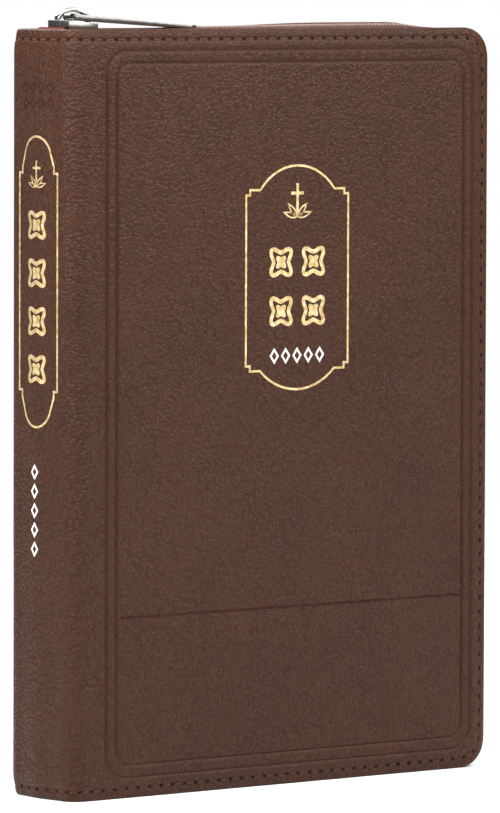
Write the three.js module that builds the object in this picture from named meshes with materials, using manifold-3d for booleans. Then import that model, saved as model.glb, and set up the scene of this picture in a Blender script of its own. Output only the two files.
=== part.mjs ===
// A zip-around Bible: padded leather covers and spine, thin-paper text block, coil zip, slider and pull.
// Millimetres. X runs from the spine to the fore edge, Y from the front cover to the back one, Z up.
// It stands upright on its bottom edges, with the origin under its middle.
import * as THREE from "three";
import { mergeVertices } from "three/addons/utils/BufferGeometryUtils.js";
import Module from "manifold-3d";

const wasm = await Module();
wasm.setup();

// ---- driving dimensions ----
const WIDTH = 147; // spine to fore edge
const HEIGHT = 207;
const THICKNESS = 31; // across both closed covers
const COVER_CORNER = 9; // radius of the covers' fore-edge corners
const SPINE_ROUNDING = 6; // radius of the two upright corners of the spine
const ARC_STEPS = 6; // facets of a quarter turn

const SPINE_X = -WIDTH / 2;
const FORE_X = WIDTH / 2;
const HALF = THICKNESS / 2;
const HINGE_X = SPINE_X + SPINE_ROUNDING;
const SIDES = { front: -1, back: 1 };

// Depths of the cover's layers, from its outermost plane inwards. The thread lies in a groove of the leather.
const THREAD_DEPTHS = [0.05, 0.3];
const GROOVE_DEPTHS = [-0.5, 0.35];
const LEATHER_DEPTHS = [0, 1.25];
const FOAM_DEPTHS = [1.3, 2.1];
const BOARD_DEPTHS = [2.15, 3.35];
const LINING_DEPTHS = [3.4, 3.75];
const PASTEDOWN_DEPTHS = [3.8, 4.0];
const FLYLEAF_DEPTHS = [4.3, 4.6];
const TURNING_LEAVES_DEPTHS = [4.9, 8.9];
const BLOCK_DEPTHS = [9.2, 26.1]; // the sections that stay on the spine, counted from the front

// Each layer's margin from the cover's edges, and its start from the spine plane.
const LAYERS = [
  { name: "leather", depths: LEATHER_DEPTHS, margin: 0, start: SPINE_ROUNDING + 0.15 },
  { name: "foam", depths: FOAM_DEPTHS, margin: 3, start: 12 },
  { name: "board", depths: BOARD_DEPTHS, margin: 3.5, start: 12 },
  { name: "lining", depths: LINING_DEPTHS, margin: 4, start: 8 },
  { name: "pastedown", depths: PASTEDOWN_DEPTHS, margin: 5, start: 9.5 },
];

// Spine layers as distances from the spine plane, with half widths and clearances at head and foot.
const SPINE_LEATHER = 1.1;
const STIFFENER = { from: 1.35, to: 2.35, halfWidth: 9, margin: 4 };
const SPINE_LINING = { from: 2.4, to: 2.75, halfWidth: 11, margin: 3 };
const PAPER_LINER = { from: 4.1, to: 4.4, halfWidth: 9, margin: 16 };
const MULL = { from: 4.5, to: 4.8, halfWidth: 10.4, margin: 20 };

// Text block.
const BLOCK_START = 5; // from the spine plane
const BLOCK_WIDTH = 133;
const BLOCK_MARGIN = 5.5; // from the covers' head and foot
const PAGE_CORNER = 6;
const SECTIONS = 12;
const SECTION_GAP = 0.05;
const RIBBON_GAP = 0.5;
const RIBBONS = [
  { after: 4, x: 16 },
  { after: 8, x: 26 },
]; // the section each ribbon lies behind, and its place from the block's spine edge
const RIBBON_WIDTH = 6;
const RIBBON_THICKNESS = 0.3;
const FLYLEAF_START = 9; // turning line of the flyleaves, from the spine plane
const TURNING_START = 9.6; // turning line of the first leaves
const GUTTER_GAP = 0.3;
const HEADBAND_SIZE = 2;

// Zip.
const ZIP_RECESS = 0.5; // coil top below the covers' edges
const ZIP_FOOT_RAISE = 1; // the foot run is tucked in further, clear of the ground
const TAPE_THICKNESS = 0.6;
const TAPE_DROP = 0.7; // the tape's edge lies this much lower than its middle
const TAPE_START = 6.5;
const COIL_START = 9.2;
const COIL_HEIGHT = 1.6;
const COIL_SPAN = [0.15, 1.95]; // from the middle plane
const TAPE_SPAN = [2.3, 14];
const STITCH_INSET = 2.7;
const STITCH_WIDTH = 0.5;
const GROOVE_WIDTH = 0.9;

// Slider, pull and their places; SLIDER_X is the slider's middle when the zip is closed.
const SLIDER_X = SPINE_X + 11.3;
const SLIDER_LENGTH = 12.6;
const SLIDER_NOSE_HALF = 4.5;
const SLIDER_TAIL_HALF = 3.9;
const SLIDER_FOOT = HEIGHT - 3.05;
const CHANNEL = [HEIGHT - 2.3, HEIGHT + 0.2];
const SLIDER_NOSE_TOP = HEIGHT + 2.4;
const SLIDER_TAIL_TOP = HEIGHT + 1.4;
const TAPE_SLOT = [HEIGHT - 1.45, HEIGHT - 0.3];
const FLANGE_WALL = 0.85;
const BAIL_HALF = 5.6;
const BAIL_RISE = 3.25;
const BAIL_LIFT = [0.05, 0.2]; // its feet stand this far above the slider's top, at nose and tail
const BAIL_THICKNESS = 1.1;
const BAIL_WIDTH = 2;
const PULL_AXIS = { x: SLIDER_X - 0.3, z: HEIGHT + 3.2 };
const PULL_TILT = 4 * (Math.PI / 180);
const PULL_LENGTH = 42;
const PULL_THICKNESS = [1.6, 0.9]; // at the eye and at the tip
const PULL_HALF_WIDTH = [2.7, 3.4]; // at the eye and near the tip
const EYE_RADIUS = 0.95;
const EYE_WINDOW = { from: 1.25, to: 7, half: 1.5 };

// ---- finishes ----
const finish = (color, roughness, metalness = 0) => ({ color, roughness, metalness });
const LEATHER = finish(0x5a3530, 0.55);
const FOAM = finish(0xd8d2c4, 0.95);
const BOARD = finish(0x9a8a74, 0.9);
const LINING = finish(0x4a2c28, 0.8);
const PAPER = finish(0xe9e3d3, 0.9);
const CLOTH = finish(0xe4dfd0, 0.95);
const BAND = finish(0x8c2f35, 0.8);
const RIBBON = finish(0x7a1f2a, 0.6);
const TAPE = finish(0x6b4238, 0.85);
const COIL = finish(0x7b5046, 0.45);
const THREAD = finish(0x4a2a22, 0.7);
const METAL = finish(0x77746f, 0.2, 1);

const group = new THREE.Group();

function add(name, geometry, look) {
  const mesh = new THREE.Mesh(geometry, new THREE.MeshStandardMaterial(look));
  mesh.name = name;
  group.add(mesh);
  return mesh;
}

// ---- solids ----
// Extrudes an outline in X and Z along Y, between two Y values.
function slab(outline, yLow, yHigh) {
  const settings = { depth: yHigh - yLow, bevelEnabled: false, curveSegments: ARC_STEPS };
  return new THREE.ExtrudeGeometry(outline, settings).rotateX(Math.PI / 2).translate(0, yHigh, 0);
}

// Extrudes an outline in X and Y upwards, between two Z values.
function prism(outline, zLow, zHigh) {
  const settings = { depth: zHigh - zLow, bevelEnabled: false, curveSegments: ARC_STEPS };
  return new THREE.ExtrudeGeometry(outline, settings).translate(0, 0, zLow);
}

function box(x, y, z) {
  const size = [x, y, z].map(([low, high]) => high - low);
  const middle = [x, y, z].map(([low, high]) => (low + high) / 2);
  return new THREE.BoxGeometry(...size).translate(...middle);
}

function polygon(points) {
  return new THREE.Shape(points.map(([a, b]) => new THREE.Vector2(a, b)));
}

// A sheet's outline: square at the spine side, rounded at the fore edge.
function sheetOutline(xLow, xHigh, zLow, zHigh, radius) {
  const shape = new THREE.Shape();
  shape.moveTo(xLow, zLow);
  shape.lineTo(xHigh - radius, zLow);
  shape.absarc(xHigh - radius, zLow + radius, radius, -Math.PI / 2, 0, false);
  shape.lineTo(xHigh, zHigh - radius);
  shape.absarc(xHigh - radius, zHigh - radius, radius, 0, Math.PI / 2, false);
  shape.lineTo(xLow, zHigh);
  return shape;
}

// The Y interval of a layer on one side, from its depths below that side's outer plane.
function layerY(side, [outer, inner]) {
  const ys = [side * (HALF - outer), side * (HALF - inner)];
  return [Math.min(...ys), Math.max(...ys)];
}

function toSolid(geometry) {
  const bare = geometry.clone();
  bare.deleteAttribute("normal");
  bare.deleteAttribute("uv");
  const merged = mergeVertices(bare);
  const vertProperties = merged.attributes.position.array;
  return new wasm.Manifold(
    new wasm.Mesh({ numProp: 3, vertProperties, triVerts: new Uint32Array(merged.index.array) }),
  );
}

function toGeometry(solid) {
  const mesh = solid.getMesh();
  const geometry = new THREE.BufferGeometry();
  geometry.setAttribute("position", new THREE.BufferAttribute(mesh.vertProperties, 3));
  geometry.setIndex(new THREE.BufferAttribute(mesh.triVerts, 1));
  geometry.computeVertexNormals();
  return geometry;
}

const joined = (geometries) => toGeometry(geometries.map(toSolid).reduce((a, b) => a.add(b)));

// ---- the path round the three open edges ----
// One station at each bend and at the ends of each straight run, so that corners get facets
// and straight runs get none. A section's first axis points inwards and its second along +Y.
class EdgePath extends THREE.Curve {
  constructor(start, inset, footRaise) {
    super();
    const radius = COVER_CORNER - inset;
    const right = FORE_X - inset - radius;
    const top = HEIGHT - inset - radius;
    const bottom = footRaise + inset + radius;
    const station = (x, z, angle) => ({ point: new THREE.Vector3(x, 0, z), angle });
    const corner = (z, from) =>
      Array.from({ length: ARC_STEPS + 1 }, (_, i) => {
        const angle = from - (i * Math.PI) / 2 / ARC_STEPS;
        return station(right + radius * Math.cos(angle), z + radius * Math.sin(angle), angle);
      });
    this.stations = [
      station(SPINE_X + start, top + radius, Math.PI / 2),
      ...corner(top, Math.PI / 2),
      ...corner(bottom, 0),
      station(SPINE_X + start, bottom - radius, -Math.PI / 2),
    ];
  }
  getPointAt(t) {
    return this.stations[Math.round(t * (this.stations.length - 1))].point.clone();
  }
  computeFrenetFrames() {
    const angles = this.stations.map(({ angle }) => angle);
    return {
      tangents: angles.map((a) => new THREE.Vector3(Math.sin(a), 0, -Math.cos(a))),
      normals: angles.map((a) => new THREE.Vector3(-Math.cos(a), 0, -Math.sin(a))),
      binormals: angles.map(() => new THREE.Vector3(0, 1, 0)),
    };
  }
}

// Sweeps a section of [inward, y] points along the open edges.
function edgeBand(section, start, inset, footRaise) {
  const extrudePath = new EdgePath(start, inset, footRaise);
  const steps = extrudePath.stations.length - 1;
  return new THREE.ExtrudeGeometry(polygon(section), { steps, extrudePath, bevelEnabled: false });
}

// ---- covers ----
// A band along the stitch line: the thread itself, or the groove that is cut for it.
function stitchBand(side, depths, width, start) {
  const [low, high] = layerY(side, depths);
  const half = width / 2;
  return edgeBand([[-half, low], [half, low], [half, high], [-half, high]], start, STITCH_INSET, 0);
}

function addCover(prefix, side) {
  const looks = { leather: LEATHER, foam: FOAM, board: BOARD, lining: LINING, pastedown: PAPER };
  const groove = stitchBand(side, GROOVE_DEPTHS, GROOVE_WIDTH, SPINE_ROUNDING - 1);
  for (const { name, depths, margin, start } of LAYERS) {
    const radius = COVER_CORNER - margin;
    const edge = FORE_X - margin;
    const outline = sheetOutline(SPINE_X + start, edge, margin, HEIGHT - margin, radius);
    const sheet = slab(outline, ...layerY(side, depths));
    const piece = name === "leather" ? toGeometry(toSolid(sheet).subtract(toSolid(groove))) : sheet;
    add(`${prefix}_${name}`, piece, looks[name]);
  }
  add(`${prefix}_thread`, stitchBand(side, THREAD_DEPTHS, STITCH_WIDTH, SPINE_ROUNDING + 0.5), THREAD);
}

// One tape and one coil for each cover. The tape's section falls from its middle edge to the cover.
function addZipHalf(prefix, side) {
  const [inner, outer] = TAPE_SPAN;
  const span = [0, 0.5, 1].map((t) => ({
    y: side * (inner + t * (outer - inner)),
    fall: ZIP_RECESS + 0.15 + TAPE_DROP * t * t,
  }));
  const topLine = span.map(({ y, fall }) => [fall, y]);
  const underLine = span.map(({ y, fall }) => [fall + TAPE_THICKNESS, y]).reverse();
  add(`${prefix}_zip_tape`, edgeBand([...topLine, ...underLine], TAPE_START, 0, ZIP_FOOT_RAISE), TAPE);

  const [near, far] = COIL_SPAN.map((y) => side * y);
  const [crest, base] = [ZIP_RECESS, ZIP_RECESS + COIL_HEIGHT];
  const coil = [[crest, near], [base, near], [base, far], [crest + 0.5, far], [crest, (near + far) / 2]];
  add(`${prefix}_zip_coil`, edgeBand(coil, COIL_START, 0, ZIP_FOOT_RAISE), COIL);
}

for (const [prefix, side] of Object.entries(SIDES)) {
  addCover(prefix, side);
  addZipHalf(prefix, side);
}

// ---- spine of the case ----
// A wall with two rounded upright corners, from one cover's hinge line to the other's.
function spineWall() {
  const rounding = SPINE_ROUNDING;
  const [near, far] = [-HALF + rounding, HALF - rounding];
  const inner = rounding - SPINE_LEATHER;
  const shape = new THREE.Shape();
  shape.moveTo(HINGE_X, near - rounding);
  shape.lineTo(HINGE_X, near - inner);
  shape.absarc(HINGE_X, near, inner, -Math.PI / 2, -Math.PI, true);
  shape.lineTo(HINGE_X - inner, far);
  shape.absarc(HINGE_X, far, inner, Math.PI, Math.PI / 2, true);
  shape.lineTo(HINGE_X, far + rounding);
  shape.absarc(HINGE_X, far, rounding, Math.PI / 2, Math.PI, false);
  shape.lineTo(HINGE_X - rounding, near);
  shape.absarc(HINGE_X, near, rounding, Math.PI, 1.5 * Math.PI, false);
  return prism(shape, 0, HEIGHT);
}

function spineLayer({ from, to, halfWidth, margin }) {
  return box([SPINE_X + from, SPINE_X + to], [-halfWidth, halfWidth], [margin, HEIGHT - margin]);
}

// A run of stitching across the flat of the spine, or its groove.
function spineRun(depths, width, z) {
  const flat = HALF - SPINE_ROUNDING;
  const [outer, inner] = depths;
  return box([SPINE_X + outer, SPINE_X + inner], [-flat, flat], [z - width / 2, z + width / 2]);
}

const spineRuns = { head: HEIGHT - STITCH_INSET, foot: STITCH_INSET };
const spineGrooves = Object.values(spineRuns).map((z) => toSolid(spineRun(GROOVE_DEPTHS, GROOVE_WIDTH, z)));
const spineSkin = spineGrooves.reduce((wall, groove) => wall.subtract(groove), toSolid(spineWall()));
add("spine_leather", toGeometry(spineSkin), LEATHER);
add("spine_stiffener", spineLayer(STIFFENER), BOARD);
add("spine_lining", spineLayer(SPINE_LINING), LINING);
add("spine_paper_liner", spineLayer(PAPER_LINER), PAPER);
add("spine_mull", spineLayer(MULL), CLOTH);

for (const [end, z] of Object.entries(spineRuns)) {
  add(`spine_${end}_thread`, spineRun(THREAD_DEPTHS, STITCH_WIDTH, z), THREAD);
}

// ---- text block ----
const blockX = SPINE_X + BLOCK_START;
const foreX = blockX + BLOCK_WIDTH;
const blockZ = [BLOCK_MARGIN, HEIGHT - BLOCK_MARGIN];
const leafOutline = (xLow) => sheetOutline(xLow, foreX, ...blockZ, PAGE_CORNER);
const stub = (turning, yRange) => box([blockX, turning - GUTTER_GAP], yRange, blockZ);

const ribbonRoom = RIBBONS.length * RIBBON_GAP;
const plainGaps = (SECTIONS - 1 - RIBBONS.length) * SECTION_GAP;
const sectionThickness = (BLOCK_DEPTHS[1] - BLOCK_DEPTHS[0] - ribbonRoom - plainGaps) / SECTIONS;

function ribbonOutline(x) {
  const [low, high] = [BLOCK_MARGIN - 2, HEIGHT - BLOCK_MARGIN];
  return polygon([
    [x, low + 1.5],
    [x + RIBBON_WIDTH, low],
    [x + RIBBON_WIDTH, high - 1],
    [blockX + 5, high + 1.6],
    [blockX + 0.5, high + 1.6],
    [x, high - 3],
  ]);
}

let sectionY = -HALF + BLOCK_DEPTHS[0];
for (let i = 1; i <= SECTIONS; i++) {
  const label = String(i).padStart(2, "0");
  add(`text_section_${label}`, slab(leafOutline(blockX), sectionY, sectionY + sectionThickness), PAPER);
  sectionY += sectionThickness;
  const ribbon = RIBBONS.findIndex(({ after }) => after === i);
  if (ribbon >= 0) {
    const middle = sectionY + RIBBON_GAP / 2;
    const faces = [middle - RIBBON_THICKNESS / 2, middle + RIBBON_THICKNESS / 2];
    add(`ribbon_marker_${ribbon + 1}`, slab(ribbonOutline(blockX + RIBBONS[ribbon].x), ...faces), RIBBON);
  }
  sectionY += ribbon >= 0 ? RIBBON_GAP : SECTION_GAP;
}

const turningX = SPINE_X + TURNING_START;
add("first_leaves", slab(leafOutline(turningX), ...layerY(SIDES.front, TURNING_LEAVES_DEPTHS)), PAPER);
add("first_leaves_fold", stub(turningX, layerY(SIDES.front, TURNING_LEAVES_DEPTHS)), PAPER);
for (const [prefix, side] of Object.entries(SIDES)) {
  const line = SPINE_X + FLYLEAF_START;
  add(`${prefix}_flyleaf`, slab(leafOutline(line), ...layerY(side, FLYLEAF_DEPTHS)), PAPER);
  add(`${prefix}_flyleaf_fold`, stub(line, layerY(side, FLYLEAF_DEPTHS)), PAPER);
}

// Woven bands at head and foot of the text block's spine: half-round beads.
function bead(z, up) {
  const radius = HEADBAND_SIZE / 2;
  const shape = new THREE.Shape();
  const middle = blockX + radius;
  shape.moveTo(middle - radius, z);
  shape.absarc(middle, z, radius, Math.PI, up ? 0 : 2 * Math.PI, up);
  const front = -HALF + TURNING_LEAVES_DEPTHS[0];
  return slab(shape, front, HALF - TURNING_LEAVES_DEPTHS[0] + GUTTER_GAP);
}
add("headband", bead(blockZ[1] + 0.1, true), BAND);
add("tailband", bead(blockZ[0] - 0.1, false), BAND);

// ---- zip ends ----
// The tape's ends are tucked into the case at the spine, at head and foot.
const TAB = { from: 1.6, to: 4.6, half: 5.5, height: 2 };
function zipEnd(zLow, rise) {
  const [a, b] = [SPINE_X + TAB.from, SPINE_X + TAB.to];
  const points = [[a, zLow], [b, zLow], [b, zLow + TAB.height + rise], [a, zLow + TAB.height - 0.6]];
  return slab(polygon(points), -TAB.half, TAB.half);
}
add("zip_head_end", zipEnd(HEIGHT - 1.8, 0.4), TAPE);
add("zip_foot_end", zipEnd(0.5, 0), TAPE);

// ---- slider ----
// Two plates joined by a post at the nose, with flanges that leave a slot for the tapes.
function sliderOutline() {
  const [nose, tail] = [SLIDER_X - SLIDER_LENGTH / 2, SLIDER_X + SLIDER_LENGTH / 2];
  const waist = SLIDER_X - 1;
  return polygon([
    [nose, -2.6],
    [nose + 1.6, -SLIDER_NOSE_HALF],
    [waist, -SLIDER_NOSE_HALF],
    [tail - 0.8, -SLIDER_TAIL_HALF],
    [tail, -SLIDER_TAIL_HALF + 0.8],
    [tail, SLIDER_TAIL_HALF - 0.8],
    [tail - 0.8, SLIDER_TAIL_HALF],
    [waist, SLIDER_NOSE_HALF],
    [nose + 1.6, SLIDER_NOSE_HALF],
    [nose, 2.6],
  ]);
}

function sliderBody() {
  const [nose, tail] = [SLIDER_X - SLIDER_LENGTH / 2, SLIDER_X + SLIDER_LENGTH / 2];
  const whole = toSolid(prism(sliderOutline(), SLIDER_FOOT, SLIDER_NOSE_TOP));
  const slope = polygon([
    [nose - 1, SLIDER_NOSE_TOP],
    [nose + 1, SLIDER_NOSE_TOP],
    [tail, SLIDER_TAIL_TOP],
    [tail + 1, SLIDER_TAIL_TOP],
    [tail + 1, SLIDER_NOSE_TOP + 1],
    [nose - 1, SLIDER_NOSE_TOP + 1],
  ]);
  const inside = SLIDER_TAIL_HALF - FLANGE_WALL;
  const channel = box([nose - 1, tail + 1], [-inside, inside], CHANNEL);
  const slot = box([nose - 1, tail + 1], [-HALF, HALF], TAPE_SLOT);
  const post = box([nose + 0.7, nose + 3.2], [-1.1, 1.1], [SLIDER_FOOT + 0.3, SLIDER_TAIL_TOP - 0.3]);
  const cut = whole.subtract(toSolid(slab(slope, -HALF, HALF)));
  return toGeometry(cut.subtract(toSolid(channel)).subtract(toSolid(slot)).add(toSolid(post)));
}
add("slider_body", sliderBody(), METAL);

// A low arch from nose to tail that holds the pull's eye. Its feet follow the body's sloping top.
function bail() {
  const shape = new THREE.Shape();
  const noseFoot = SLIDER_NOSE_TOP + BAIL_LIFT[0];
  const steps = 2 * ARC_STEPS;
  const point = (half, rise, i) => {
    const angle = Math.PI - (i * Math.PI) / steps;
    return [SLIDER_X + half * Math.cos(angle), noseFoot + rise * Math.sin(angle)];
  };
  const arch = (half, rise) => Array.from({ length: steps + 1 }, (_, i) => point(half, rise, i));
  const outer = arch(BAIL_HALF, BAIL_RISE);
  const inner = arch(BAIL_HALF - BAIL_THICKNESS, BAIL_RISE - BAIL_THICKNESS).reverse();
  const tailFoot = SLIDER_TAIL_TOP + BAIL_LIFT[1];
  const foot = [[SLIDER_X + BAIL_HALF, tailFoot], [SLIDER_X + BAIL_HALF - BAIL_THICKNESS, tailFoot + 0.1]];
  shape.setFromPoints([...outer, ...foot, ...inner].map(([x, z]) => new THREE.Vector2(x, z)));
  return slab(shape, -BAIL_WIDTH / 2, BAIL_WIDTH / 2);
}
add("slider_bail", bail(), METAL);

// The pull: a long tapering plate whose eye is a round bar under the bail. Built along +X about its axis.
function pullTab() {
  const [eyeHalf, tipHalf] = PULL_HALF_WIDTH;
  const outline = new THREE.Shape();
  outline.moveTo(0, -eyeHalf);
  outline.lineTo(PULL_LENGTH - tipHalf, -tipHalf);
  outline.absarc(PULL_LENGTH - tipHalf, 0, tipHalf, -Math.PI / 2, Math.PI / 2, false);
  outline.lineTo(0, eyeHalf);
  const blank = toSolid(prism(outline, -EYE_RADIUS, EYE_RADIUS));
  const [eyeThick, tipThick] = PULL_THICKNESS;
  const taper = polygon([
    [-1, -eyeThick / 2],
    [PULL_LENGTH + 1, -tipThick / 2],
    [PULL_LENGTH + 1, tipThick / 2],
    [-1, eyeThick / 2],
  ]);
  const plate = blank.intersect(toSolid(slab(taper, -tipHalf, tipHalf)));
  const { from, to, half } = EYE_WINDOW;
  const window = toSolid(box([from - 0.6, to], [-half, half], [-2, 2]));
  const bar = new THREE.CylinderGeometry(EYE_RADIUS, EYE_RADIUS, 2 * eyeHalf, 2 * ARC_STEPS);
  return toGeometry(plate.subtract(window).add(toSolid(bar)));
}
const pull = add("pull_tab", pullTab(), METAL);
pull.position.set(PULL_AXIS.x, 0, PULL_AXIS.z);
pull.rotation.y = PULL_TILT;

export default group;
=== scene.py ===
# %% [markdown]
# # A zip-around Bible
# The book stands upright. A padded leather case runs from the front cover round the spine to the
# back cover, a coil zip closes the three open sides, and the thin-paper text block lies inside.
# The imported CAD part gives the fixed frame: every piece made here stays in its place and size.
# X runs from the spine to the fore edge, Y from the front cover to the back one, and Z up.

import math

import bpy
import numpy as np
from mathutils import Matrix, Vector


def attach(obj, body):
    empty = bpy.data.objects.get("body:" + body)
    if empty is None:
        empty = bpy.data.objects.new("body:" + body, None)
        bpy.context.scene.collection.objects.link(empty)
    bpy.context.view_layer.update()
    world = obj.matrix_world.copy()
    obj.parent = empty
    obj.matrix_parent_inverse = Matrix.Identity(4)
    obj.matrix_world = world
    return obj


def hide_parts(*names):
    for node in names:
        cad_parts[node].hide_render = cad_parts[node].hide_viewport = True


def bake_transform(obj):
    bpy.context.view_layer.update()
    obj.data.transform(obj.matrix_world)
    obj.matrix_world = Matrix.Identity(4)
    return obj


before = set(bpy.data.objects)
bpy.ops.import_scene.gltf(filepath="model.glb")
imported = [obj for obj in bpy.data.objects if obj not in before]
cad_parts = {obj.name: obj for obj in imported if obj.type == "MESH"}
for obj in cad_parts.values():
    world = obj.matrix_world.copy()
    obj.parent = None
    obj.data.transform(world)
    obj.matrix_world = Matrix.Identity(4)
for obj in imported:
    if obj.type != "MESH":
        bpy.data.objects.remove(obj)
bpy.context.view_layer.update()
MM = 0.001

# %% [markdown]
# ## Sizes
# One place holds the sizes that several pieces share, in millimetres. A cover's outer leather
# lies in the plane HALF away from the middle of the book. The seam is where the spine's leather
# meets a cover's: the leather is one skin there.

# %% Shared sizes in millimetres
SPINE_X, FORE_X = -73.5, 73.5
HEIGHT, HALF = 207.0, 15.5
COVER_CORNER = 9.0
HINGE_X, SEAM_X, BEND_END_X = -67.5, -66.5, -61.6
SKIN = 1.24  # thickness of the leather with its turned edge
LINE_DEPTH, LINE_WIDTH = 0.42, 0.36  # of the blind lines round the panel
SEAM_DEPTH, SEAM_WIDTH = 0.3, 0.55  # of the groove that the stitches lie in
MARGIN_SINK = 0.45  # the covers' margins lie this far inside the outer plane
STITCH_INSET, STITCH_PITCH = 2.7, 4.0
OUTER_FRAME = ((SPINE_X + 11.6, 5.6), (FORE_X - 6.7, HEIGHT - 5.6), 7.0)
INNER_FRAME = ((SPINE_X + 15.0, 9.0), (FORE_X - 9.9, HEIGHT - 9.0), 5.0)
DOTTED_LINE_Z = 49.0


# %% [markdown]
# ## Shape of the leather skin
# On a real cover the leather is glued over a board and a layer of foam. Its margin is pressed
# flat and sewn, two blind lines are pressed round the panel with a heated tool, and the panel
# inside them swells a little. The same shape could be sculpted, but a depth worked out from the
# distance to each line is exact, and the stitches and the foil can then be laid on it.

# %% Depth of the leather below its outermost plane
def inside_depth(x, z, low, high, radius):
    """How far inside a rounded rectangle a point lies; negative outside it."""
    dx = np.abs(x - (low[0] + high[0]) / 2) - (high[0] - low[0]) / 2 + radius
    dz = np.abs(z - (low[1] + high[1]) / 2) - (high[1] - low[1]) / 2 + radius
    outside = np.hypot(np.maximum(dx, 0), np.maximum(dz, 0))
    return radius - outside - np.minimum(np.maximum(dx, dz), 0)


def ease(t):
    t = np.clip(t, 0, 1)
    return t * t * (3 - 2 * t)


def ramp(s, low, high):
    """Rises gently from 0 to 1 between two distances."""
    return ease((s - low) / (high - low))


def groove(distance, depth, width):
    return depth * np.exp(-((distance / width) ** 2))


RIM = SKIN / 2  # radius of the turned edge
CROWN, SWELL_REACH = 0.6, 26.0
FORE_FALL, HEAD_FALL, FALL_WIDTH = 1.35, 0.95, 6.6


def rim_roll(edge):
    """The turned edge: a quarter round at the skin's outline."""
    inner = np.clip(RIM - edge, 0, RIM)
    return RIM - np.sqrt(np.maximum(RIM**2 - inner**2, 0))


def edge_depth(x, z):
    return inside_depth(x, z, (SPINE_X - 60, 0), (FORE_X, HEIGHT), COVER_CORNER)


def margin_fall(x, z):
    """The margins droop: most at the fore edge, a little at head and foot."""
    fore = np.clip(1 - (FORE_X - x) / FALL_WIDTH, 0, 1) ** 2
    ends = np.clip(1 - np.minimum(z, HEIGHT - z) / FALL_WIDTH, 0, 1) ** 2
    return FORE_FALL * fore + HEAD_FALL * ends


def skin_depth(x, z):
    edge = edge_depth(x, z)
    depth = margin_fall(x, z) + rim_roll(edge) + groove(edge - STITCH_INSET, SEAM_DEPTH, SEAM_WIDTH)
    for line in (OUTER_FRAME, INNER_FRAME):
        depth = depth + groove(inside_depth(x, z, *line), LINE_DEPTH, LINE_WIDTH)
    swell = ease(inside_depth(x, z, *INNER_FRAME) / SWELL_REACH)
    return MARGIN_SINK + depth - CROWN * swell


IRONED_MARGIN, IRONED_LINE = 6.2, 0.75  # reach of the smoothed grain from the edge and from a line


def pressed_share(x, z):
    """How much of the grain is ironed out: nearly all in the frame lines, half in the margins."""
    share = 0.5 * ease((IRONED_MARGIN - edge_depth(x, z)) / 2.0)
    for line in (OUTER_FRAME, INNER_FRAME):
        share = share + groove(inside_depth(x, z, *line), 1.0, IRONED_LINE)
    return np.clip(share, 0, 0.95)


print("crown over the outer plane in mm:", round(float(-skin_depth(np.array(3.0), np.array(103.0))), 2))

# %% [markdown]
# ## Surfaces that small pieces are laid on
# Stitches, foil and coil turns are drawn flat, in millimetres, with X along the surface, Z across
# it and Y into it. A surface is a function that takes those three numbers to a place on the book.
# The spine's surface follows its rounded profile, and the zip's follows the three open edges.

# %% Surfaces of the covers, the spine and the zip
ROUNDING = HINGE_X - SPINE_X  # radius of the spine's two long edges
SPINE_FLAT = HALF - MARGIN_SINK - ROUNDING
SPINE_BULGE = 0.8
ARC_LENGTH = ROUNDING * math.pi / 2


def spine_profile(a):
    """Place and outward direction of the spine's profile, at distance a from its middle."""
    side = np.sign(a)
    run = np.abs(a)
    angle = np.clip((run - SPINE_FLAT) / ROUNDING, 0, math.pi / 2)
    past = np.maximum(run - SPINE_FLAT - ARC_LENGTH, 0)
    flat = np.minimum(run, SPINE_FLAT)
    bulge = SPINE_BULGE * np.cos(math.pi / 2 * flat / SPINE_FLAT) ** 2
    x = HINGE_X - ROUNDING * np.cos(angle) - bulge + past
    y = -side * (flat + ROUNDING * np.sin(angle))
    return x, y, -np.cos(angle), -side * np.sin(angle)


def spine_surface(a, into, z):
    x, y, nx, ny = spine_profile(a)
    sunk = into + skin_depth(np.full_like(z, SEAM_X), z) - MARGIN_SINK
    return x - nx * sunk, y - ny * sunk, z


def front_surface(x, into, z):
    return x, -HALF + skin_depth(x, z) + into, z


def back_surface(x, into, z):
    return x, HALF - skin_depth(x, z) - into, z


ZIP_FOOT_RAISE = 1.0
TOP_RUN = FORE_X - COVER_CORNER - SPINE_X
CORNER_RUN = COVER_CORNER * math.pi / 2
SIDE_RUN = HEIGHT - ZIP_FOOT_RAISE - 2 * COVER_CORNER
ZIP_RUN = 2 * TOP_RUN + 2 * CORNER_RUN + SIDE_RUN


def zip_surface(s, into, y):
    """Distance s runs from the spine plane along the head, down the fore edge and back along the foot."""
    turn1 = np.clip((s - TOP_RUN) / COVER_CORNER, 0, math.pi / 2)
    side = np.clip(s - TOP_RUN - CORNER_RUN, 0, SIDE_RUN)
    turn2 = np.clip((s - TOP_RUN - CORNER_RUN - SIDE_RUN) / COVER_CORNER, 0, math.pi / 2)
    foot = np.maximum(s - TOP_RUN - 2 * CORNER_RUN - SIDE_RUN, 0)
    turn = turn1 + turn2
    radius = COVER_CORNER - into
    x = SPINE_X + np.minimum(s, TOP_RUN) + radius * np.sin(turn) - foot
    z = HEIGHT - COVER_CORNER - side + radius * np.cos(turn)
    return x, y, z


def lay_on(piece, surface):
    """Moves a flat piece's points, in mm, onto a surface of the book, in metres."""
    flat = points_of(piece)
    x, y, z = surface(flat[:, 0], flat[:, 1], flat[:, 2])
    set_points(piece, np.stack([x, y, z], 1) * MM)
    return piece


def points_of(piece):
    points = np.zeros(len(piece.data.vertices) * 3, np.float32)
    piece.data.vertices.foreach_get("co", points)
    return points.reshape(-1, 3).astype(float)


def set_points(piece, points):
    piece.data.vertices.foreach_set("co", np.asarray(points, np.float32).ravel())
    piece.data.update()


print("length of the zip in mm:", round(ZIP_RUN))

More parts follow.
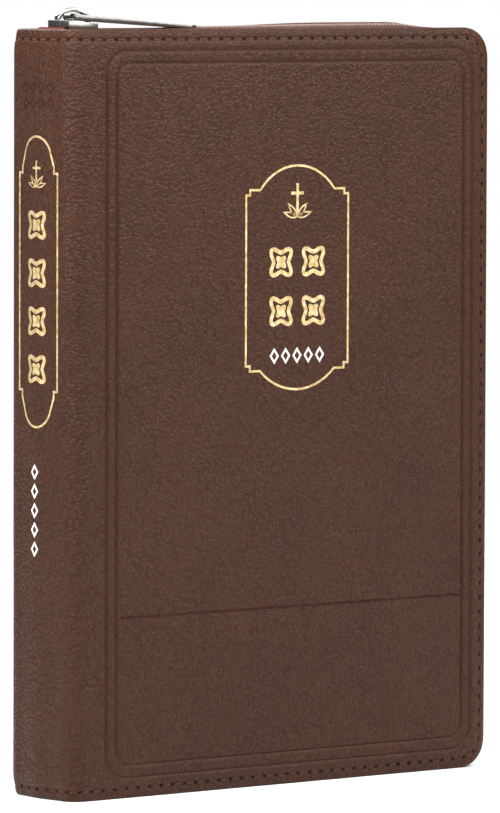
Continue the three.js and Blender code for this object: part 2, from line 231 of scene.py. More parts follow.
# %% [markdown]
# ## Working by hand in code
# Each new piece starts as a primitive and is shaped in edit mode. An operator acts on whatever is
# selected, so these helpers first let go of everything, and then pick points by their place.


# %% Helpers for selecting, editing and finishing
def only(piece):
    """Selects one object and makes it the active one."""
    bpy.ops.object.select_all(action="DESELECT")
    piece.select_set(True)
    bpy.context.view_layer.objects.active = piece


def newly_added(name):
    piece = bpy.context.object
    piece.name = piece.data.name = name
    only(piece)
    return piece


def edit(piece, *steps):
    """Runs edit-mode steps, each an operator with its settings, on all of a piece."""
    only(piece)
    bpy.ops.object.mode_set(mode="EDIT")
    bpy.ops.mesh.select_all(action="SELECT")
    for operator, settings in steps:
        operator(**settings)
    bpy.ops.object.mode_set(mode="OBJECT")
    return piece


def outward(piece):
    """Turns every face's normal to the outside."""
    return edit(piece, (bpy.ops.mesh.normals_make_consistent, {"inside": False}))


def modify(piece, kind, **settings):
    """Adds one modifier and applies it."""
    only(piece)
    modifier = piece.modifiers.new(kind.title(), kind)
    for key, value in settings.items():
        setattr(modifier, key, value)
    bpy.ops.object.modifier_apply(modifier=modifier.name)
    return piece


def smooth(piece, degrees=35):
    only(piece)
    bpy.ops.object.shade_smooth_by_angle(angle=math.radians(degrees))
    return piece


def joined(parts, name):
    bpy.ops.object.select_all(action="DESELECT")
    for part in parts:
        part.select_set(True)
    bpy.context.view_layer.objects.active = parts[0]
    bpy.ops.object.join()
    return newly_added(name)


def copies_of(model, places, name):
    """One piece made of copies of a flat model, each turned in its plane and moved to (a, b)."""
    parts = []
    for a, b, angle in places:
        part = model.copy()
        part.data = model.data.copy()
        bpy.context.collection.objects.link(part)
        part.data.transform(Matrix.Translation((a, 0, b)) @ Matrix.Rotation(-angle, 4, "Y"))
        parts.append(part)
    bpy.data.objects.remove(model)
    return joined(parts, name)


def keep_place(piece):
    """Stores each point's place at rest, so that a pattern stays on the piece when it bends."""
    place = piece.data.attributes.new("rest_place", "FLOAT_VECTOR", "POINT")
    place.data.foreach_set("vector", points_of(piece).astype(np.float32).ravel())
    return piece


def keep_pressed(piece, x, z):
    """Stores how much the grain is ironed out at each point of a two-sided skin."""
    pressed = piece.data.attributes.new("pressed", "FLOAT", "POINT")
    shares = np.tile(pressed_share(x, z), 2)[: len(piece.data.vertices)]
    pressed.data.foreach_set("value", shares.astype(np.float32))
    return piece


def finished(piece, *materials, slot=None, angle=35):
    """Shading, the stored place and materials: what every piece ends with. The slot is not used."""
    smooth(piece, angle)
    keep_place(piece)
    if materials:
        piece.data.materials.clear()
    for material in materials:
        piece.data.materials.append(material)
    return piece


# %% [markdown]
# ## Building materials
# A material is a small graph of nodes that ends in the Principled shader. One function adds a
# node: it sets the node's own settings, and gives each input a value or another node's output.
# Patterns are drawn on each point's stored place in millimetres, so that their sizes are real
# ones, and every graph ends in the same way, in a colour, a relief and a roughness.


# %% Helpers for materials
def linear(hex_colour):
    """An sRGB colour such as 5A3A2F as linear red, green, blue and alpha."""
    channels = [int(hex_colour[i : i + 2], 16) / 255 for i in (0, 2, 4)]
    return tuple(c / 12.92 if c <= 0.04045 else ((c + 0.055) / 1.055) ** 2.4 for c in channels) + (1.0,)


def add(tree, kind, inputs, output=0, **settings):
    """Adds a node and returns an output of it. An input holds a value or another node's output."""
    node = tree.nodes.new("ShaderNode" + kind)
    for key, value in settings.items():
        setattr(node, key, value)
    for key, value in inputs.items():
        if isinstance(value, bpy.types.NodeSocket):
            tree.links.new(value, node.inputs[key])
        else:
            node.inputs[key].default_value = value
    return node.outputs[output]


def material(name, **shader_values):
    """A new material and its tree, with the shader's values that are the same all over."""
    made = bpy.data.materials.new(name)
    made.use_nodes = True
    shader = made.node_tree.nodes["Principled BSDF"]
    for key, value in shader_values.items():
        shader.inputs[key.replace("_", " ")].default_value = value
    return made, made.node_tree


def surfaced(made, share, low, high, height=None, depth=0.0, roughness=None):
    """Ends a graph: a colour between two, relief that stands for depth mm, and a roughness."""
    tree = made.node_tree
    shader = tree.nodes["Principled BSDF"]
    colours = {"Factor": share, 6: linear(low), 7: linear(high)}
    tree.links.new(add(tree, "Mix", colours, 2, data_type="RGBA"), shader.inputs["Base Color"])
    if height is not None:
        bump = add(tree, "Bump", {"Height": height, "Distance": depth * MM})
        tree.links.new(bump, shader.inputs["Normal"])
    if roughness is not None:
        tree.links.new(roughness, shader.inputs["Roughness"])
    return made


def place_in_mm(tree):
    """The stored place of a point at rest, in millimetres."""
    place = add(tree, "Attribute", {}, "Vector", attribute_name="rest_place")
    return add(tree, "VectorMath", {0: place, "Scale": 1 / MM}, operation="SCALE")


def blended(tree, first, second, share):
    """Two patterns in one: a share of the first, and the rest of the second."""
    rest = add(tree, "Math", {0: second, 1: 1 - share}, operation="MULTIPLY")
    return add(tree, "Math", {0: first, 1: share, 2: rest}, operation="MULTIPLY_ADD")


def crossing_yarns(tree, first, second, yarn):
    """Values from 0 to 1 that swell and sink where two sets of yarns, yarn mm apart, cross."""
    waves = []
    for distance in (first, second):
        phase = add(tree, "Math", {0: distance, 1: math.pi / yarn}, operation="MULTIPLY")
        waves.append(add(tree, "Math", {0: phase}, operation="SINE"))
    crossing = add(tree, "Math", {0: waves[0], 1: waves[1]}, operation="MULTIPLY")
    return add(tree, "MapRange", {"Value": crossing, 1: -1.0, 2: 1.0, 3: 0.0, 4: 1.0})


# %% [markdown]
# ### Leather
# Full-grain cowhide, chrome tanned and drummed so that its surface shrinks into rounded pebbles
# about a millimetre across, with narrow creases between them. The colour is painted darker in the
# creases as shade and lighter on the tips as a highlight, and the wax finish gives the tips a soft
# shine. Voronoi cells of two sizes give the pebbles, and a noise that pushes their coordinates about
# keeps them from looking like tiles.


# %% Pebbled leather
def pebbled_leather(name, crease_shade, tip_highlight, depth, roughness):
    """Pebbles lie about 1.2 mm apart along the book and 0.8 mm upright, as the hide was stretched."""
    made, tree = material(name, IOR=1.45, Specular_IOR_Level=0.22)
    place = place_in_mm(tree)
    cloud = add(tree, "TexNoise", {"Vector": place, "Scale": 0.5, "Detail": 1.0}, "Color")
    centred = add(tree, "VectorMath", {0: cloud, 1: (0.5, 0.5, 0.5)}, operation="SUBTRACT")
    push = add(tree, "VectorMath", {0: centred, "Scale": 0.7}, operation="SCALE")
    pushed = add(tree, "VectorMath", {0: place, 1: push})
    drawn_out = add(tree, "VectorMath", {0: pushed, 1: (0.8, 0.8, 1.12)}, operation="MULTIPLY")
    domes = []
    for cells_per_mm in (1.06, 1.75):
        cells = {"Vector": drawn_out, "Scale": cells_per_mm, "Smoothness": 0.35}
        distance = add(tree, "TexVoronoi", cells, "Distance", feature="SMOOTH_F1")
        domes.append(add(tree, "MapRange", {"Value": distance, 1: 0.1, 2: 0.75, 3: 1.0, 4: 0.0}))
    patches = add(tree, "TexNoise", {"Vector": place, "Scale": 1 / 8, "Detail": 3.0}, "Fac")
    weight = add(tree, "MapRange", {"Value": patches, 1: 0.35, 2: 0.65, 3: 0.5, 4: 0.9})
    rest = add(tree, "Math", {0: 1.0, 1: weight}, operation="SUBTRACT")
    coarse = add(tree, "Math", {0: domes[0], 1: weight}, operation="MULTIPLY")
    grain = add(tree, "Math", {0: domes[1], 1: rest, 2: coarse}, operation="MULTIPLY_ADD")
    fine = {"Vector": place, "Scale": 1 / 0.45, "Detail": 3.0, "Roughness": 0.6}
    pores = add(tree, "TexNoise", fine, "Fac")
    rough = add(tree, "Math", {0: pores, 1: 0.1, 2: grain}, operation="MULTIPLY_ADD")
    pressed = add(tree, "Attribute", {}, "Fac", attribute_name="pressed")
    unpressed = add(tree, "Math", {0: 1.0, 1: pressed}, operation="SUBTRACT")
    height = add(tree, "Math", {0: rough, 1: unpressed}, operation="MULTIPLY")
    clouds = add(tree, "TexNoise", {"Vector": place, "Scale": 1 / 25, "Detail": 2.0}, "Fac")
    # Random clouds and painted shade: the grain makes the colour darker in the creases and lighter on the
    # tips, as light falls on the pebbles.
    tone_and_crease_shade = blended(tree, clouds, grain, 0.35)
    ends = {1: 0.2, 2: 0.8, 3: roughness + 0.12, 4: roughness - 0.06}
    gloss = add(tree, "MapRange", {"Value": grain, **ends})
    return surfaced(made, tone_and_crease_shade, crease_shade, tip_highlight, height, depth, gloss)


# The first colour is painted shade in the creases, the second a painted highlight on the tips.
LEATHER = pebbled_leather("pebbled_cowhide", "29140B", "4B2A17", 0.35, 0.44)
# Near-black leather painted on the stitch holes and the blind dots as the shade inside them.
HOLE_SHADE = pebbled_leather("painted_hole_shade", "100805", "1C100C", 0.03, 0.8)
# Darker leather painted on the spine's blind lozenges as their shade.
BLIND_SHADE = pebbled_leather("blind_mark_painted_shade", "22120B", "3C2217", 0.05, 0.4)
print("leather ready:", LEATHER.name, HOLE_SHADE.name, BLIND_SHADE.name)


# %% [markdown]
# ### Foils and thread
# Hot-stamped foil is a metal film a few thousandths of a millimetre thick: it keeps a trace of
# the grain below it, which breaks up its shine. Bonded polyester thread is a tight twist of
# fine filaments, so it shows slanting strands and a soft sheen along each stitch.


# %% Foils and thread
def stamped_foil(name, low, high, metallic, roughness):
    made, tree = material(name, Metallic=metallic)
    place = place_in_mm(tree)
    # Random patches of lighter foil: partly wear, partly painted highlights in place of reflections.
    wear_and_highlight_noise = add(tree, "TexNoise", {"Vector": place, "Scale": 1 / 1.4, "Detail": 4.0}, "Fac")
    wear_and_highlights = add(tree, "MapRange", {"Value": wear_and_highlight_noise, 1: 0.35, 2: 0.65, 3: 0.0, 4: 1.0})
    grain = add(tree, "TexNoise", {"Vector": place, "Scale": 1 / 0.7, "Detail": 3.0}, "Fac")
    ends = {1: 0.3, 2: 0.7, 3: roughness - 0.08, 4: roughness + 0.1}
    dull = add(tree, "MapRange", {"Value": grain, **ends})
    return surfaced(made, wear_and_highlights, low, high, grain, 0.05, dull)


def twisted_thread(name, low, high):
    made, tree = material(name, Roughness=0.6, Specular_IOR_Level=0.3)
    slant = add(tree, "Mapping", {"Vector": place_in_mm(tree), "Rotation": (0.0, 0.7, 0.0)})
    waves = {"Vector": slant, "Scale": 0.7, "Distortion": 0.6}
    strands = add(tree, "TexWave", waves, "Fac", bands_direction="X")
    return surfaced(made, strands, low, high, strands, 0.06)


# The lighter foil colour is partly a painted highlight.
GOLD = stamped_foil("gold_foil", "D0AC6E", "F6E2B2", 0.75, 0.42)
WHITE = stamped_foil("white_foil", "E4DED6", "F6F2EC", 0.0, 0.5)
THREAD = twisted_thread("polyester_thread", "2E1A12", "5A3A2A")
print("foils and thread ready")


# %% [markdown]
# ### Zip and metal
# The tape is polyester woven as a herringbone twill with yarns about 0.4 mm apart. The coil is one
# extruded nylon filament, smooth and slightly see-through. The slider and pull are zinc castings,
# tumbled and plated in dark nickel, which is nearly a mirror but shows faint ripples and scuffs.


# %% Zip materials
def woven_tape(name, low, high, yarn=0.42):
    """Yarns run along the book's edges and across them; the two sides mirror each other."""
    made, tree = material(name, Roughness=0.85, Specular_IOR_Level=0.1)
    place = place_in_mm(tree)
    x, y, z = add(tree, "SeparateXYZ", {0: place}).node.outputs
    along = add(tree, "Math", {0: x, 1: z}, operation="ADD")
    across = add(tree, "Math", {0: y}, operation="ABSOLUTE")
    weave = crossing_yarns(tree, along, across, yarn)
    fuzz = add(tree, "TexNoise", {"Vector": place, "Scale": 1 / 0.6, "Detail": 4.0}, "Fac")
    return surfaced(made, blended(tree, fuzz, weave, 0.5), low, high, weave, 0.12)


def nylon(name, low, high):
    made, tree = material(name, IOR=1.53, Subsurface_Weight=0.1, Subsurface_Scale=0.5 * MM)
    place = place_in_mm(tree)
    draw = add(tree, "TexNoise", {"Vector": place, "Scale": 1 / 1.1, "Detail": 3.0}, "Fac")
    gloss = add(tree, "MapRange", {"Value": draw, 1: 0.3, 2: 0.7, 3: 0.4, 4: 0.55})
    return surfaced(made, draw, low, high, draw, 0.02, gloss)


def dark_nickel(name, low, high):
    made, tree = material(name, Metallic=1.0)
    metres = add(tree, "TexCoord", {}, "Object")
    place = add(tree, "VectorMath", {0: metres, "Scale": 1 / MM}, operation="SCALE")
    cast = add(tree, "TexNoise", {"Vector": place, "Scale": 1 / 3, "Detail": 3.0}, "Fac")
    fine = {"Vector": place, "Scale": 1 / 0.25, "Detail": 6.0, "Roughness": 0.7}
    scuffs = add(tree, "TexNoise", fine, "Fac")
    gloss = add(tree, "MapRange", {"Value": scuffs, 1: 0.4, 2: 0.75, 3: 0.12, 4: 0.26})
    return surfaced(made, cast, low, high, cast, 0.03, gloss)


TAPE = woven_tape("polyester_tape", "3C231B", "634033")
TAPE_END = woven_tape("tape_end_weave", "4A211C", "6E362E", 0.5)
COIL = nylon("nylon_coil", "5C4842", "8C7870")
METAL = dark_nickel("dark_nickel_plate", "7E7B78", "BEBBB6")
print("zip materials ready")


# %% [markdown]
# ### Paper, boards, cloths and foam
# Bible paper is thin, smooth and cream, and the edges of hundreds of leaves show as fine lines
# under a gilt finish. The endpapers are heavier. Greyboard is pressed waste paper with flecks in
# it, mull is an open cotton gauze, the lining is a plain-woven rayon, and the padding is a fine
# open-celled foam.


# %% Paper, board, cloth and foam materials
def paper(name, low, high, fibre, roughness=0.85):
    made, tree = material(name, Roughness=roughness)
    place = place_in_mm(tree)
    flecks = {"Vector": place, "Scale": 1 / fibre, "Detail": 5.0, "Roughness": 0.65}
    fibres = add(tree, "TexNoise", flecks, "Fac")
    clouds = add(tree, "TexNoise", {"Vector": place, "Scale": 1 / 18, "Detail": 2.0}, "Fac")
    return surfaced(made, blended(tree, clouds, fibres, 0.5), low, high, fibres, 0.02)


def gilt_edge(name, low, high):
    """Leaves lie 0.18 mm apart, drawn twice as coarse as real Bible paper so that they show."""
    made, tree = material(name, Metallic=0.8)
    stretched = add(tree, "Mapping", {"Vector": place_in_mm(tree), "Scale": (0.02, 1.0, 0.02)})
    leaves = add(tree, "TexNoise", {"Vector": stretched, "Scale": 1 / 0.18, "Detail": 2.0}, "Fac")
    gloss = add(tree, "MapRange", {"Value": leaves, 1: 0.3, 2: 0.7, 3: 0.3, 4: 0.5})
    return surfaced(made, leaves, low, high, leaves, 0.06, gloss)


def plain_weave(name, low, high, yarn, roughness=0.8):
    made, tree = material(name, Roughness=roughness, Sheen_Weight=0.3)
    place = place_in_mm(tree)
    x, _, z = add(tree, "SeparateXYZ", {0: place}).node.outputs
    weave = crossing_yarns(tree, x, z, yarn)
    slubs = add(tree, "TexNoise", {"Vector": place, "Scale": 1 / 2.5, "Detail": 3.0}, "Fac")
    return surfaced(made, blended(tree, slubs, weave, 0.4), low, high, weave, 0.1)


def foam(name, low, high):
    made, tree = material(name, Roughness=0.95)
    cells = add(tree, "TexVoronoi", {"Vector": place_in_mm(tree), "Scale": 2.2}, "Distance")
    return surfaced(made, cells, low, high, cells, 0.2)


def striped_band(name, low, high, pitch):
    made, tree = material(name, Roughness=0.55, Sheen_Weight=0.3)
    across = add(tree, "SeparateXYZ", {0: place_in_mm(tree)}, "Y")
    phase = add(tree, "Math", {0: across, 1: 2 * math.pi / pitch}, operation="MULTIPLY")
    wave = add(tree, "Math", {0: phase}, operation="SINE")
    stripe = add(tree, "MapRange", {"Value": wave, 1: -0.25, 2: 0.25, 3: 0.0, 4: 1.0})
    ridges = add(tree, "Math", {0: wave}, operation="ABSOLUTE")
    return surfaced(made, stripe, low, high, ridges, 0.15)


LEAF = paper("bible_paper", "C6BCA4", "D6CDB8", 0.6)
ENDPAPER = paper("endpaper", "BCAD8E", "CFC2A5", 1.2)
KRAFT = paper("kraft_liner", "A98F68", "C4AB84", 1.6)
GREYBOARD = paper("greyboard", "8C8070", "A89C8A", 1.0, 0.92)
GILT = gilt_edge("gilt_page_edge", "B98A3A", "E2BE74")
LINING = plain_weave("rayon_lining", "3A211D", "5A3730", 0.35)
MULL = plain_weave("cotton_mull", "C9C2AE", "EDE8DA", 0.9)
SATIN = plain_weave("satin_ribbon", "6E1A24", "96303A", 0.12, 0.4)
FOAM = foam("open_cell_foam", "C9C2B2", "E6E0D2")
BAND = striped_band("silk_headband", "7E2029", "D8C79A", 1.6)
print("paper, cloth and foam ready")

# %% [markdown]
# ## The leather covers
# A cover's skin is a sheet whose edge is turned over. It starts as a grid, finer where lines are
# pressed and where the edge turns, and its square corners are drawn round. The grid is doubled in
# edit mode, and the copy becomes the inner side: both meet at the turned edge and are merged there.


# %% Grid lines that are close together where the shape needs them
def spaced(*stops):
    """Lines from each stop to the next, no further apart than the step given with it."""
    lines = []
    for (low, step), (high, _) in zip(stops, stops[1:]):
        count = max(1, math.ceil((high - low) / step - 1e-6))
        lines.extend(np.linspace(low, high, count, endpoint=False))
    return np.array([*lines, stops[-1][0]])


EDGE_STOPS = [(0, 0.05), (0.1, 0.1), (0.5, 0.25), (2.0, 0.22), (3.4, 0.4), (4.6, 0.28), (12.6, 0.6)]
z_edge = spaced(*EDGE_STOPS, (17.0, 3.0))
z_lines = np.concatenate([z_edge, spaced((17.0, 3.0), (HEIGHT - 17, 1.0))[1:-1], HEIGHT - z_edge[::-1]])
x_edge = FORE_X - spaced(*EDGE_STOPS, (19.0, 1.0))[::-1]
hinge_side = [(SEAM_X, 0.5), (SPINE_X + 10.6, 0.28), (SPINE_X + 18.6, 0.6), (SPINE_X + 22, 3.0)]
x_lines = np.concatenate([spaced(*hinge_side, (FORE_X - 19, 1.0))[:-1], x_edge])
print("grid of a cover:", len(x_lines), "by", len(z_lines))


# %% Make one cover's skin
def grid_piece(name, columns, rows):
    """A grid primitive with one point for each pair of a column and a row."""
    bpy.ops.mesh.primitive_grid_add(x_subdivisions=columns - 1, y_subdivisions=rows - 1, size=1)
    return newly_added(name)


def rounded(x, z):
    """Draws the grid's square fore-edge corners round."""
    u = np.clip((x - FORE_X + COVER_CORNER) / COVER_CORNER, 0, 1)
    reach = HEIGHT / 2 - COVER_CORNER
    v = np.clip((np.abs(z - HEIGHT / 2) - reach) / COVER_CORNER, 0, 1)
    in_corner = (u > 0) & (v > 0)
    side = np.sign(z - HEIGHT / 2)
    round_x = FORE_X - COVER_CORNER + COVER_CORNER * u * np.sqrt(1 - v * v / 2)
    round_z = HEIGHT / 2 + side * (reach + COVER_CORNER * v * np.sqrt(1 - u * u / 2))
    return np.where(in_corner, round_x, x), np.where(in_corner, round_z, z)


def two_sided(piece):
    """Doubles a sheet: the first half of the points stays the outer side, the second the inner."""
    duplicate = (bpy.ops.mesh.duplicate, {})
    flip = (bpy.ops.mesh.flip_normals, {})
    return edit(piece, duplicate, flip)


def closed(piece):
    """Merges the two sides at the turned edges, and fills the seam's open ends."""
    edit(piece, (bpy.ops.mesh.remove_doubles, {"threshold": 1e-7}))
    only(piece)
    bpy.ops.object.mode_set(mode="EDIT")
    bpy.ops.mesh.select_mode(type="EDGE")
    bpy.ops.mesh.select_all(action="DESELECT")
    bpy.ops.mesh.select_non_manifold(extend=False, use_wire=False, use_multi_face=False)
    bpy.ops.mesh.fill()
    bpy.ops.mesh.select_all(action="SELECT")
    bpy.ops.mesh.normals_make_consistent(inside=False)
    bpy.ops.object.mode_set(mode="OBJECT")
    return piece


def cover_skin(name, side):
    piece = two_sided(grid_piece(name, len(x_lines), len(z_lines)))
    z, x = np.meshgrid(z_lines, x_lines, indexing="ij")
    x, z = rounded(x.ravel(), z.ravel())
    outer = skin_depth(x, z)
    turned = margin_fall(x, z) + MARGIN_SINK + SKIN - rim_roll(edge_depth(x, z))
    depth = np.concatenate([outer, turned])
    points = np.stack([np.tile(x, 2), side * (HALF - depth), np.tile(z, 2)], 1)
    set_points(piece, points * MM)
    keep_pressed(piece, x, z)
    return closed(piece)


front_case = finished(cover_skin("front_case_leather", -1), LEATHER, slot="leather", angle=50)
back_case = finished(cover_skin("back_case_leather", 1), LEATHER, slot="leather", angle=50)
print("faces of a cover's skin:", len(front_case.data.polygons))

# %% [markdown]
# ## The spine's leather
# Between the two seams the same skin wraps the spine. Its grid follows the rounded profile, so the
# points at each seam fall on the covers' own points and no gap can show.

# %% Make the spine's skin
seam_run = SPINE_FLAT + ARC_LENGTH + SEAM_X - HINGE_X
half_profile = spaced((0.0, 1.0), (SPINE_FLAT, 0.42), (SPINE_FLAT + ARC_LENGTH, 0.5), (seam_run, 1.0))
profile_lines = np.concatenate([-half_profile[:0:-1], half_profile])
spine_case = two_sided(grid_piece("spine_case_leather", len(profile_lines), len(z_lines)))
run, rise = (v.ravel() for v in np.meshgrid(profile_lines, z_lines))
outer_skin = np.stack(spine_surface(run, np.zeros_like(run), rise), 1)
edge_z = np.minimum(rise, HEIGHT - rise)
stitch_dip = groove(edge_z - STITCH_INSET, SEAM_DEPTH, SEAM_WIDTH)
inner_skin = np.stack(spine_surface(run, SKIN - 2 * rim_roll(edge_z) - stitch_dip, rise), 1)
set_points(spine_case, np.concatenate([outer_skin, inner_skin]) * MM)
keep_pressed(spine_case, np.full_like(rise, SEAM_X), rise)
closed(spine_case)
finished(spine_case, LEATHER, slot="leather", angle=50)
print("faces of the spine's skin:", len(spine_case.data.polygons))

# %% [markdown]
# ## Stitches
# The case is sewn all round with bonded thread, 4 mm to a stitch. Each stitch lies in a shallow
# pressed groove and dips into a pricked hole at both ends. One stitch is shaped from a cylinder
# whose ends are narrowed and pulled down, then copied along the stitch line. The holes are small
# pits between the stitches, painted near-black as the shade inside them.


# %% One stitch and one hole, drawn flat in mm
STITCH_LENGTH, STITCH_DEPTH, STITCH_WIDTH = 1.5, 0.2, 0.27  # from its middle
STITCH_DIP, STITCH_PROUD = 0.22, 0.1  # its ends dip into the holes, and its middle stands proud
PIT_LENGTH, PIT_WIDTH, PIT_PROUD = 0.62, 0.42, 0.12


def flat_points(piece, change):
    set_points(piece, change(points_of(piece)))
    return piece


def stitch_model():
    bpy.ops.mesh.primitive_cylinder_add(vertices=8, radius=1, depth=2, rotation=(0, math.pi / 2, 0))
    piece = newly_added("stitch")
    bpy.ops.object.transform_apply(location=False, rotation=True, scale=False)
    edit(piece, (bpy.ops.mesh.subdivide, {"number_cuts": 1}))

    def shape(p):
        along = np.clip(p[:, 0], -1, 1)
        girth = np.sqrt(np.maximum(1 - 0.82 * along**2, 0.0))
        into = p[:, 1] * STITCH_DEPTH * girth + STITCH_DIP * along**4 - STITCH_PROUD
        return np.stack([along * STITCH_LENGTH, into, p[:, 2] * STITCH_WIDTH * girth], 1)

    return flat_points(piece, shape)


def pit_model():
    bpy.ops.mesh.primitive_circle_add(vertices=8, radius=1, fill_type="NGON", rotation=(math.pi / 2, 0, 0))
    piece = newly_added("pit")
    bpy.ops.object.transform_apply(location=False, rotation=True, scale=False)
    edit(piece, (bpy.ops.mesh.inset, {"thickness": 0.4}))

    def shape(p):
        inner = np.hypot(p[:, 0], p[:, 2]) < 0.8
        into = np.where(inner, 0.0, -PIT_PROUD)
        return np.stack([p[:, 0] * PIT_LENGTH, into, p[:, 2] * PIT_WIDTH], 1)

    return flat_points(piece, shape)


def stitch_line():
    """Middles and directions of the stitches round a cover's three open sides."""
    right, radius = FORE_X - COVER_CORNER, COVER_CORNER - STITCH_INSET
    straight, turn = right - SEAM_X, radius * math.pi / 2
    side = HEIGHT - 2 * COVER_CORNER
    total = 2 * straight + 2 * turn + side
    count = round(total / STITCH_PITCH)
    places = []
    for i in range(count):
        s = (i + 0.5) * total / count
        angle = min(max((s - straight) / radius, 0), math.pi / 2)
        angle += min(max((s - straight - turn - side) / radius, 0), math.pi / 2)
        down = min(max(s - straight - turn, 0), side)
        back = max(s - straight - side - 2 * turn, 0)
        x = SEAM_X + min(s, straight) + radius * math.sin(angle) - back
        z = HEIGHT - COVER_CORNER - down + radius * math.cos(angle)
        places.append((x, z, -angle))
    return places


def between_places(places):
    """The holes: halfway from each stitch to the next."""
    return [((a[0] + b[0]) / 2, (a[1] + b[1]) / 2, (a[2] + b[2]) / 2) for a, b in zip(places, places[1:])]


cover_stitches = stitch_line()
print("stitches on a cover:", len(cover_stitches))

# %% Sew the covers and the spine
spine_count = round(2 * seam_run / STITCH_PITCH)
spine_stitches = [
    ((i + 0.5 - spine_count / 2) * 2 * seam_run / spine_count, z, 0.0)
    for z in (HEIGHT - STITCH_INSET, STITCH_INSET)
    for i in range(spine_count)
]
spine_holes = [
    ((i - spine_count / 2) * 2 * seam_run / spine_count, z, 0.0)
    for z in (HEIGHT - STITCH_INSET, STITCH_INSET)
    for i in range(spine_count + 1)
]


def sewn(name, places, holes, surface):
    thread = lay_on(copies_of(stitch_model(), places, name + "_stitches"), surface)
    pits = lay_on(copies_of(pit_model(), holes, name + "_stitch_holes"), surface)
    outward(thread)
    outward(pits)
    finished(thread, THREAD, slot="thread")
    # The holes are painted near-black as their shade.
    finished(pits, HOLE_SHADE, slot="leather")
    return thread, pits


cover_holes = between_places(cover_stitches)
front_sewing = sewn("front", cover_stitches, cover_holes, front_surface)
back_sewing = sewn("back", cover_stitches, cover_holes, back_surface)
spine_sewing = sewn("spine", spine_stitches, spine_holes, spine_surface)
print("stitches on the spine:", len(spine_stitches))

# %% [markdown]
# ## Stamped ornament
# A heated die presses foil into the leather. Each mark is a closed outline, drawn as a circle
# primitive whose points are moved onto it. Extruding the circle's edge inwards makes a line of
# even width, and extruding its faces gives the film its thickness.


# %% Flat marks from outlines
def along(corners, step):
    """A closed outline with points no further apart than step."""
    points = []
    for (a, b), (c, d) in zip(corners, corners[1:] + corners[:1]):
        count = max(1, math.ceil(math.hypot(c - a, d - b) / step))
        points.extend((a + (c - a) * i / count, b + (d - b) * i / count) for i in range(count))
    return points


def drawn(name, outline, fill):
    bpy.ops.mesh.primitive_circle_add(vertices=len(outline), radius=1, fill_type=fill)
    piece = newly_added(name)
    flat = np.array(outline)
    set_points(piece, np.stack([flat[:, 0], np.zeros(len(flat)), flat[:, 1]], 1))
    return piece


def thickened(piece, film=0.16):
    """Gives a flat mark a wall that reaches into the leather."""
    push = {"TRANSFORM_OT_translate": {"value": (0, film, 0)}}
    edit(piece, (bpy.ops.mesh.extrude_region_move, push))
    return outward(piece)


def solid_mark(name, outline):
    return thickened(drawn(name, outline, "NGON"))


def line_mark(name, outline, width):
    """A closed line of even width: its inner edge is the outline's mitred offset."""
    piece = drawn(name, outline, "NOTHING")
    edit(piece, (bpy.ops.mesh.extrude_edges_move, {}))
    flat = np.array(outline)
    before, after = flat - np.roll(flat, 1, 0), np.roll(flat, -1, 0) - flat
    area = np.sum(flat[:, 0] * np.roll(flat[:, 1], -1) - np.roll(flat[:, 0], -1) * flat[:, 1])
    sides = [np.stack([-v[:, 1], v[:, 0]], 1) / np.hypot(v[:, 0], v[:, 1])[:, None] for v in (before, after)]
    share = 1 + np.sum(sides[0] * sides[1], 1)
    inner = flat + np.sign(area) * width * (sides[0] + sides[1]) / share[:, None]
    points = np.concatenate([flat, inner])
    set_points(piece, np.stack([points[:, 0], np.zeros(len(points)), points[:, 1]], 1))
    return thickened(piece)


def moved(outline, a, b, scale=1.0):
    return [(a + scale * x, b + scale * z) for x, z in outline]


print("a 4 by 4 mm outline has", len(along([(0, 0), (4, 0), (4, 4), (0, 4)], 1.5)), "points")


# %% Outlines of the cartouche, the rosette, the cross and the lozenge
def cartouche(half, shoulder, chord, apex, low_shoulder, low_apex):
    """A tall panel with stepped shoulders and an arch at head and foot, about its middle line."""

    def arch(z, rise, steps=14):
        radius = (chord**2 + rise**2) / (2 * abs(rise))
        swing = math.asin(chord / radius)
        sign = math.copysign(1, rise)
        angles = [swing * (1 - 2 * i / steps) for i in range(steps + 1)]
        return [(radius * math.sin(t), z + rise - sign * radius * (1 - math.cos(t))) for t in angles]

    step = 1.4
    right = [(half, low_shoulder + step), (half, shoulder - step), (half - step, shoulder - step)]
    right.append((half - step, shoulder))
    head = arch(shoulder, apex - shoulder)
    left = [(half - step, low_shoulder), (half - step, low_shoulder + step)]
    mirror = [(-a, b) for a, b in reversed(right)]
    low_left = [(-a, b) for a, b in reversed(left)]
    foot = [(-a, b) for a, b in arch(low_shoulder, low_apex - low_shoulder)]
    return along([*right, *head, *mirror, *low_left, *foot, *left], 3.0)


def rosette(radius, points=32):
    """Four round petals."""
    angles = [2 * math.pi * i / points for i in range(points)]
    sizes = [radius * (0.8 + 0.2 * math.cos(4 * (t - math.pi / 4))) for t in angles]
    return [(r * math.cos(t), r * math.sin(t)) for r, t in zip(sizes, angles)]


def latin_cross(height):
    arm, half, bar = 0.27 * height, 0.05 * height, 0.68 * height
    right = [(half, 0), (half, bar - half), (arm, bar - half), (arm, bar + half), (half, bar + half)]
    right.append((half, height))
    return [(a, b - height / 2) for a, b in right + [(-a, b) for a, b in reversed(right)]]


def lozenge(width, height):
    return [(width / 2, 0), (0, height / 2), (-width / 2, 0), (0, -height / 2)]


def leaf_spray(height):
    """A slender pointed leaf, upright, with its foot at the origin."""
    steps = [i / 8 for i in range(9)]
    right = [(0.16 * height * math.sin(math.pi * t**0.8), height * t) for t in steps]
    return right[1:] + [(-a, b) for a, b in reversed(right[1:-1])] + [(0, 0)]


print("cartouche points:", len(cartouche(18.2, 24.7, 13.2, 31.2, -24.8, -30.8)))


